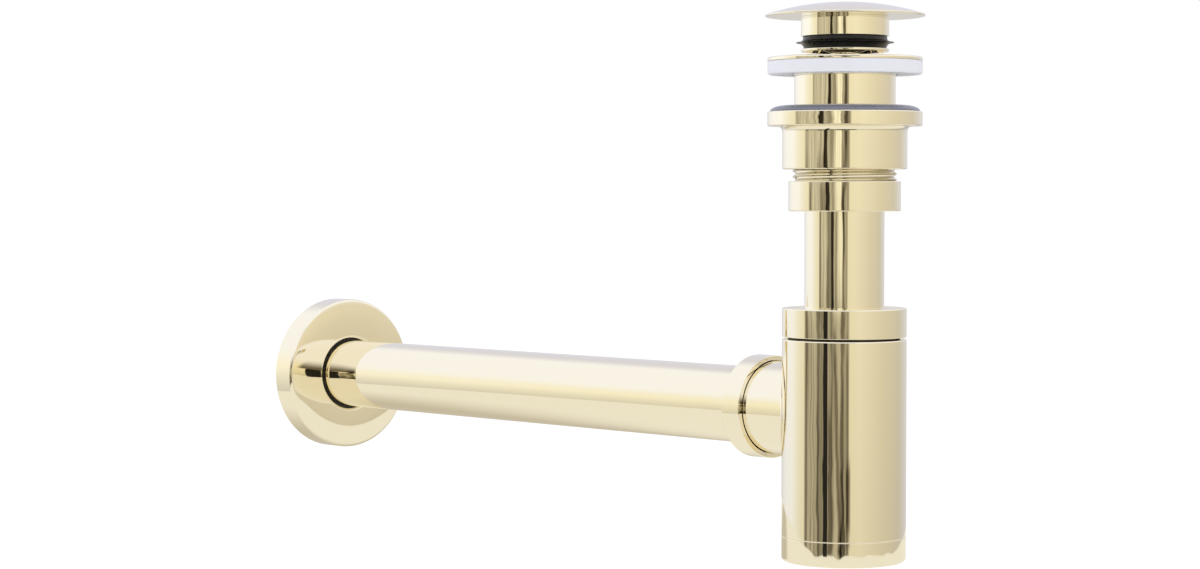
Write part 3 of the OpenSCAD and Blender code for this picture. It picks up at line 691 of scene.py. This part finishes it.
shown(rosette, "rosette_spun", "rosette", outlet_gold, ["wall_rosette"])

RING_FRONT = FACE + LIP_ROUND
wall_ring = turned([
    (PIPE_GUIDE_R, RING_FRONT, 0.3), (ROSETTE_HOLE_R - 0.02, RING_FRONT, 0.2),
    (ROSETTE_HOLE_R - 0.02, RING_SEAT), (RING_SEAT_R, RING_SEAT), (RING_SEAT_R, RING_BACK, 0.2),
    (PIPE_GUIDE_R, RING_BACK, 0.2)])
lay_along_outlet(wall_ring)
shown(wall_ring, "ring_rubber", "rosette", black_rubber, ["rosette_ring"])


# Floor: a pale board a little below the trap. It is seen and throws light back, but the
# polish doesn't mirror it, and it is clear from below.
FLOOR_Z = -0.3
floor_bm = bmesh.new()
bmesh.ops.create_grid(floor_bm, x_segments=1, y_segments=1, size=12)
bmesh.ops.translate(floor_bm, vec=(0, 0, FLOOR_Z), verts=floor_bm.verts)
floor_mesh = bpy.data.meshes.new("pale_floor")
floor_bm.to_mesh(floor_mesh)
floor_bm.free()
floor = bpy.data.objects.new("pale_floor", floor_mesh)
bpy.context.scene.collection.objects.link(floor)
floor.visible_glossy = False
pale = bpy.data.materials.new("pale_board")
pale.use_nodes = True
nodes, links = pale.node_tree.nodes, pale.node_tree.links
board = nodes["Principled BSDF"]
board.inputs["Base Color"].default_value = (0.8, 0.8, 0.8, 1)
board.inputs["Roughness"].default_value = 0.9
board.inputs["Emission Color"].default_value = (1, 1, 1, 1)
board.inputs["Emission Strength"].default_value = 0.25
clear = nodes.new("ShaderNodeBsdfTransparent")
side = nodes.new("ShaderNodeNewGeometry")
both = nodes.new("ShaderNodeMixShader")
links.new(side.outputs["Backfacing"], both.inputs["Fac"])
links.new(board.outputs["BSDF"], both.inputs[1])
links.new(clear.outputs["BSDF"], both.inputs[2])
links.new(both.outputs["Shader"], nodes["Material Output"].inputs["Surface"])
floor_mesh.materials.append(pale)
floor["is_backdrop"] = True


# Paper: the trap was shot above a sheet of white paper, about half a metre across each way.
# Only the polish sees it, with its torn edge at the foot of the body's reflections and the
# outlet tube's shadow on it.
def only_mirrored(bm, name, finish):
    """Makes the bmesh a thing of the room that nothing but the polish sees."""
    mesh = bpy.data.meshes.new(name)
    bm.to_mesh(mesh)
    bm.free()
    mesh.materials.append(finish)
    thing = bpy.data.objects.new(name, mesh)
    bpy.context.scene.collection.objects.link(thing)
    thing.visible_camera = False
    thing.visible_diffuse = False
    thing.visible_shadow = False
    thing.visible_transmission = False
    thing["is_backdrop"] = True


def plain_glow(name, colour):
    """A material of one plain light, and its emission node."""
    material = bpy.data.materials.new(name)
    material.use_nodes = True
    nodes, links = material.node_tree.nodes, material.node_tree.links
    nodes.clear()
    glow = nodes.new("ShaderNodeEmission")
    glow.inputs["Color"].default_value = (*colour, 1)
    links.new(glow.outputs["Emission"], nodes.new("ShaderNodeOutputMaterial").inputs["Surface"])
    return material, glow


TO_CAMERA = 222          # degrees, the bearing from the trap's axis back to the camera
PAPER_Z = -0.258
PAPER_REACH = 0.523
PAPER_WHITE = (0.905, 0.877, 0.79)
PAPER_SHADE = (0.6, 0.55, 0.45)
paper = bmesh.new()
rim = bmesh.ops.create_circle(paper, cap_ends=True, segments=360, radius=1)["verts"]
for v in rim:
    turn = math.degrees(math.atan2(v.co.y, v.co.x)) - TO_CAMERA
    turn = (turn + 180) % 360 - 180
    reach = PAPER_REACH + 0.0024 * max(0, -turn - 53.7) + 0.0016 * max(0, turn - 100)
    notch = 0.014 * math.exp(-((turn + 9) / 7) ** 2)
    torn = 0.005 * math.sin(math.radians(9 * turn)) + 0.002 * math.sin(math.radians(17 * turn + 50))
    v.co = v.co * (reach - notch + torn)
bmesh.ops.translate(paper, vec=(0, 0, PAPER_Z), verts=paper.verts)

white_paper, glow = plain_glow("white_paper", PAPER_WHITE)
nodes, links = white_paper.node_tree.nodes, white_paper.node_tree.links
spot = nodes.new("ShaderNodeTexCoord")
under = nodes.new("ShaderNodeMapping")
under.vector_type = "TEXTURE"
under.inputs["Location"].default_value = (0.14, 0.5, 0)
under.inputs["Scale"].default_value = (0.26, 0.4, 100)
shadow = nodes.new("ShaderNodeTexGradient")
shadow.gradient_type = "SPHERICAL"
share = nodes.new("ShaderNodeMapRange")
share.interpolation_type = "SMOOTHSTEP"
share.inputs["From Max"].default_value = 0.55
tint = nodes.new("ShaderNodeMix")
tint.data_type = "RGBA"
tint.inputs["A"].default_value = (*PAPER_WHITE, 1)
tint.inputs["B"].default_value = (*PAPER_SHADE, 1)
links.new(spot.outputs["Object"], under.inputs["Vector"])
links.new(under.outputs["Vector"], shadow.inputs["Vector"])
links.new(shadow.outputs["Fac"], share.inputs["Value"])
links.new(share.outputs["Result"], tint.inputs["Factor"])
links.new(tint.outputs["Result"], glow.inputs["Color"])
only_mirrored(paper, "paper_sheet", white_paper)


# Stand: a dark upright near the trap, which the corner of outlet tube and rosette mirrors. For
# the upright pieces it stands in front of the black card, so it doesn't show in them.
STAND_SIZE = (0.08, 0.031, 0.12)
STAND_PLACE = (-0.278, -0.047, -0.1605)
STAND_TURN = 9.6
stand = bmesh.new()
bmesh.ops.create_cube(stand, size=1)
bmesh.ops.scale(stand, vec=STAND_SIZE, verts=stand.verts)
bmesh.ops.rotate(stand, cent=(0, 0, 0), verts=stand.verts,
                 matrix=Matrix.Rotation(math.radians(STAND_TURN), 3, "Z"))
bmesh.ops.translate(stand, vec=STAND_PLACE, verts=stand.verts)
stand_paint, _ = plain_glow("stand_paint", (0.022, 0.02, 0.017))
only_mirrored(stand, "dark_stand", stand_paint)


# Studio: a white room round the part with a ceiling light, a bright wall on the left, dark
# stands and panels behind the camera and a white table. Bearings are in degrees from the
# line back to the camera, and grow towards its right; heights are above the horizon.
def card_group():
    """One dark card: how much light it leaves, from the bearing and height of the view."""
    group = bpy.data.node_groups.new("studio_card", "ShaderNodeTree")
    for name in ("Bearing", "Height", "Light", "Centre", "Half", "Edge", "Low", "High", "Fade",
                 "Lean", "Left"):
        group.interface.new_socket(name, in_out="INPUT", socket_type="NodeSocketFloat")
    group.interface.new_socket("Light", in_out="OUTPUT", socket_type="NodeSocketFloat")
    nodes, links = group.nodes, group.links
    given = nodes.new("NodeGroupInput").outputs

    def calc(operation, a, b, c=None):
        node = nodes.new("ShaderNodeMath")
        node.operation = operation
        for i, value in enumerate((a, b, c)):
            if isinstance(value, (int, float)):
                node.inputs[i].default_value = value
            elif value is not None:
                links.new(value, node.inputs[i])
        return node.outputs[0]

    def step(value, soft):
        node = nodes.new("ShaderNodeMapRange")
        node.interpolation_type = "SMOOTHSTEP"
        links.new(value, node.inputs["Value"])
        links.new(calc("MULTIPLY", soft, -1), node.inputs["From Min"])
        links.new(soft, node.inputs["From Max"])
        return node.outputs["Result"]

    leaning = calc("MULTIPLY_ADD", calc("SUBTRACT", given["Height"], given["Low"]), given["Lean"],
                   given["Centre"])
    away = calc("ABSOLUTE", calc("SUBTRACT", given["Bearing"], leaning), 0)
    across = step(calc("SUBTRACT", given["Half"], away), given["Edge"])
    inside = calc("MINIMUM", calc("SUBTRACT", given["Height"], given["Low"]),
                  calc("SUBTRACT", given["High"], given["Height"]))
    up = step(inside, given["Fade"])
    mask = calc("MULTIPLY", across, up)
    kept = calc("MULTIPLY_ADD", mask, calc("SUBTRACT", given["Left"], 1), 1)
    links.new(calc("MULTIPLY", kept, given["Light"]), nodes.new("NodeGroupOutput").inputs["Light"])
    return group


world = bpy.data.worlds.new("studio")
bpy.context.scene.world = world
world.use_nodes = True
world.cycles.sampling_method = "NONE"
nodes, links = world.node_tree.nodes, world.node_tree.links
nodes.clear()


def calc(operation, a, b=0.0, c=0.0):
    """A maths node of the studio's tree, with numbers or links as its values."""
    node = nodes.new("ShaderNodeMath")
    node.operation = operation
    for i, value in enumerate((a, b, c)):
        if isinstance(value, (int, float)):
            node.inputs[i].default_value = value
        else:
            links.new(value, node.inputs[i])
    return node.outputs[0]


def ramp(value, low, high, start=0.0, end=1.0):
    """A smooth step of the studio's tree from start, at low, to end, at high."""
    node = nodes.new("ShaderNodeMapRange")
    node.interpolation_type = "SMOOTHSTEP"
    links.new(value, node.inputs["Value"])
    for name, number in (("From Min", low), ("From Max", high), ("To Min", start), ("To Max", end)):
        node.inputs[name].default_value = number
    return node.outputs["Result"]


def blend_colour(share, a, b):
    """Mixes two colours or links of the studio's tree."""
    node = nodes.new("ShaderNodeMix")
    node.data_type = "RGBA"
    for name, value in (("Factor", share), ("A", a), ("B", b)):
        if isinstance(value, (int, float)):
            node.inputs[name].default_value = value
        elif isinstance(value, tuple):
            node.inputs[name].default_value = (*value, 1)
        else:
            links.new(value, node.inputs[name])
    return node.outputs["Result"]


looking = nodes.new("ShaderNodeTexCoord")
facing = nodes.new("ShaderNodeVectorRotate")
facing.rotation_type = "Z_AXIS"
facing.inputs["Angle"].default_value = math.radians(-TO_CAMERA)
links.new(looking.outputs["Generated"], facing.inputs["Vector"])
parts = nodes.new("ShaderNodeSeparateXYZ")
links.new(facing.outputs["Vector"], parts.inputs["Vector"])
bearing = calc("MULTIPLY", calc("ARCTAN2", parts.outputs["Y"], parts.outputs["X"]), 180 / math.pi)
height = calc("MULTIPLY", calc("ARCSINE", parts.outputs["Z"]), 180 / math.pi)

walls = nodes.new("ShaderNodeValToRGB")
wall_lights = (
    (-180, (0.67, 0.65, 0.635)), (-165, (0.72, 0.72, 0.73)), (-150, (0.9, 0.91, 0.97)),
    (-132, (0.995, 1.0, 1.07)), (-110, (1.005, 1.02, 1.055)), (-96, (0.94, 0.915, 0.805)),
    (-84, (0.885, 0.84, 0.65)), (10, (0.87, 0.81, 0.6)), (28, (0.89, 0.83, 0.643)),
    (78, (0.75, 0.686, 0.527)), (120, (0.66, 0.618, 0.531)), (133, (0.687, 0.66, 0.625)),
    (145, (0.702, 0.7, 0.745)), (157, (0.74, 0.73, 0.75)), (172, (0.68, 0.66, 0.65)))
stops = walls.color_ramp.elements
for i, (angle, colour) in enumerate(wall_lights):
    stop = stops[i] if i < 2 else stops.new(1)
    stop.position = (angle + 180) / 360
    stop.color = (*colour, 1)
links.new(calc("MULTIPLY_ADD", bearing, 1 / 360, 0.5), walls.inputs["Fac"])

# Nothing behind the camera stands quite upright, so the bearings sway with the height
sway = nodes.new("ShaderNodeTexNoise")
sway.inputs["Scale"].default_value = 1
sway.inputs["Detail"].default_value = 2
swaying = nodes.new("ShaderNodeCombineXYZ")
links.new(calc("MULTIPLY", bearing, 0.05), swaying.inputs["X"])
links.new(calc("MULTIPLY", height, 1.1), swaying.inputs["Y"])
links.new(swaying.outputs["Vector"], sway.inputs["Vector"])
held = calc("MULTIPLY", ramp(bearing, -78, -66), ramp(bearing, 9, -3))
swing = calc("MULTIPLY", calc("SUBTRACT", sway.outputs["Fac"], 0.5), 9)
swung = calc("MULTIPLY_ADD", swing, held, bearing)

# Dark cards: centre, half width and soft edge of the bearing, low and high height and their
# fade, lean in degrees of bearing per degree of height, and the share of light that is left
light = None
card_light = card_group()
for card in (
        # grey panel, its left border, and a brown part with thin dark lines
        (-57.5, 20.8, 1.3, -34, 24, 0.5, 0, 0.62),
        (-57, 18, 3, -34, -2.6, 1.2, 0, 0.76),
        (-74, 2.7, 1.5, -34, 0.3, 0.5, 0, 0.45),
        (-73, 2.6, 3, 0, 14, 0.6, 0, 0.76),
        (-44.4, 7.4, 1.3, -34, 0.4, 0.35, 0, 0.66),
        (-45, 6.5, 2, -2.8, 0.4, 0.4, 0, 0.76),
        (-44.5, 1.9, 1.5, 0.4, 14, 0.4, 0, 0.68),
        (-49, 2.2, 1.6, -34, -4.7, 0.5, 0, 0.45),
        (-49, 1.8, 1.6, -4.7, -1.4, 0.4, 0, 0.78),
        # black stand, with a softer shoulder on its right
        (-33.2, 4, 1.5, -34, 24, 0.5, -0.05, 0.035),
        (-25, 5.6, 3.2, -34, 14, 0.4, 0, 0.42),
        (-20.5, 4, 3, 0.3, 14, 0.4, 0, 0.62),
        (-26, 3.8, 2, -34, -4.7, 0.5, 0, 0.4),
        # low things right of the stand, with a slanted one
        (-13, 11, 4, -34, -2.3, 0.7, 0, 0.56),
        (-5.5, 3, 2.4, -8, -3.2, 0.5, -2.4, 0.34),
        # the camera, and the legs of its stand, which only two mirrors show
        (3, 19, 3, 4.4, 21, 0.7, 0, 0.14),
        (3, 19, 3, -34, -8.6, 0.5, 0, 0.14),
        # brown post at the right, and the darker lines in it
        (1.4, 7.8, 1.6, -34, 2.5, 0.4, 0, 0.4),
        (-1.2, 4, 2.6, 2.5, 14, 0.4, 0, 0.12),
        (2.7, 2.8, 2, 0.3, 2.6, 0.4, 0, 0.22),
        (-2.1, 2.4, 1.5, -1.5, 0.3, 0.35, 0, 0.13),
        (-4.6, 2.2, 1.4, -2.4, -1.4, 0.4, 0, 0.55),
        (-0.5, 2, 1.4, -3.4, -2.3, 0.4, 0, 0.45),
        (-2, 1.7, 1.2, -34, -3.9, 0.4, 0, 0.5),
        (6.2, 2.2, 1.3, -34, -3.4, 0.4, 0, 0.58),
        (-2, 1.7, 1.2, -7.1, -5.8, 0.3, 0, 0.3),
        (6.6, 2.4, 1.2, -7.1, -5.7, 0.3, 0, 0.25),
        (10.4, 1.6, 1, -7.2, -5.7, 0.3, 0, 0.4),
        (-4.8, 1.6, 1, -34, -7, 0.2, 0, 0.15),
        (1.2, 1.4, 1, -34, -7, 0.2, 0, 0.25)):
    node = nodes.new("ShaderNodeGroup")
    node.node_tree = card_light
    for name, number in zip(("Centre", "Half", "Edge", "Low", "High", "Fade", "Lean", "Left"),
                            card):
        node.inputs[name].default_value = number
    links.new(swung, node.inputs["Bearing"])
    links.new(height, node.inputs["Height"])
    if light is None:
        node.inputs["Light"].default_value = 1
    else:
        links.new(light, node.inputs["Light"])
    light = node.outputs["Light"]

# Small things among the dark cards, as upright streaks
streaks = nodes.new("ShaderNodeTexNoise")
streaks.inputs["Scale"].default_value = 1
streaks.inputs["Detail"].default_value = 4
place = nodes.new("ShaderNodeCombineXYZ")
links.new(calc("MULTIPLY", swung, 0.34), place.inputs["X"])
links.new(calc("MULTIPLY", height, 0.16), place.inputs["Y"])
links.new(place.outputs["Vector"], streaks.inputs["Vector"])
among = calc("MULTIPLY", ramp(bearing, -79, -76), ramp(bearing, 10, 7))
uneven = calc("MULTIPLY_ADD", calc("MULTIPLY", calc("SUBTRACT", streaks.outputs["Fac"], 0.46), 1.9),
              among, 1)
light = calc("MULTIPLY", light, uneven)

# What is dark is brown as well, and the room is a little lighter towards the ceiling
warm = nodes.new("ShaderNodeCombineColor")
links.new(light, warm.inputs["Red"])
links.new(calc("POWER", light, 1.06), warm.inputs["Green"])
links.new(calc("POWER", light, 1.13), warm.inputs["Blue"])
level = calc("MULTIPLY_ADD", calc("MINIMUM", height, 4.5), 0.017, 1.034)
lit = nodes.new("ShaderNodeVectorMath")
lit.operation = "MULTIPLY"
links.new(walls.outputs["Color"], lit.inputs[0])
links.new(warm.outputs["Color"], lit.inputs[1])
room = nodes.new("ShaderNodeVectorMath")
room.operation = "SCALE"
links.new(lit.outputs["Vector"], room.inputs[0])
links.new(level, room.inputs["Scale"])

# The ceiling, the darker space behind the trap, and the table
aside = calc("ABSOLUTE", bearing)
over = calc("MULTIPLY", ramp(height, 5, 24), ramp(aside, 166, 140))
ceiling = blend_colour(over, room.outputs["Vector"], (1.02, 1.037, 1.112))
behind = calc("MULTIPLY", ramp(height, 3, 9), ramp(aside, 140, 166))
ceiling = blend_colour(behind, ceiling, (0.75, 0.755, 0.88))
studio = blend_colour(ramp(height, -20, -30), ceiling, (0.856, 0.82, 0.73))

# Dull pieces get a plain soft light, and the camera sees white
paths = nodes.new("ShaderNodeLightPath")
soft = blend_colour(ramp(height, -60, 60), (0.8, 0.8, 0.84), (1.04, 1.04, 1.04))
seen = blend_colour(paths.outputs["Is Diffuse Ray"], studio, soft)
seen = blend_colour(paths.outputs["Is Camera Ray"], seen, (1, 1, 1))
sky = nodes.new("ShaderNodeBackground")
links.new(seen, sky.inputs["Color"])
links.new(sky.outputs["Background"], nodes.new("ShaderNodeOutputWorld").inputs["Surface"])
bpy.context.scene.view_settings.view_transform = "Standard"


# Camera: level with the inlet tube, about 1.1 m away, to the left of the outlet tube's line.
lens = bpy.data.cameras.new("camera")
lens.sensor_width = 36
lens.lens = 82.593
lens.clip_start = 0.05
lens.clip_end = 50
camera = bpy.data.objects.new("camera", lens)
bpy.context.scene.collection.objects.link(camera)
camera.location = (-0.8242, -0.7428, -0.0456)
camera.rotation_euler = (math.radians(88.006), 0, math.radians(-42.9))
bpy.context.scene.camera = camera


low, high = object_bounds()
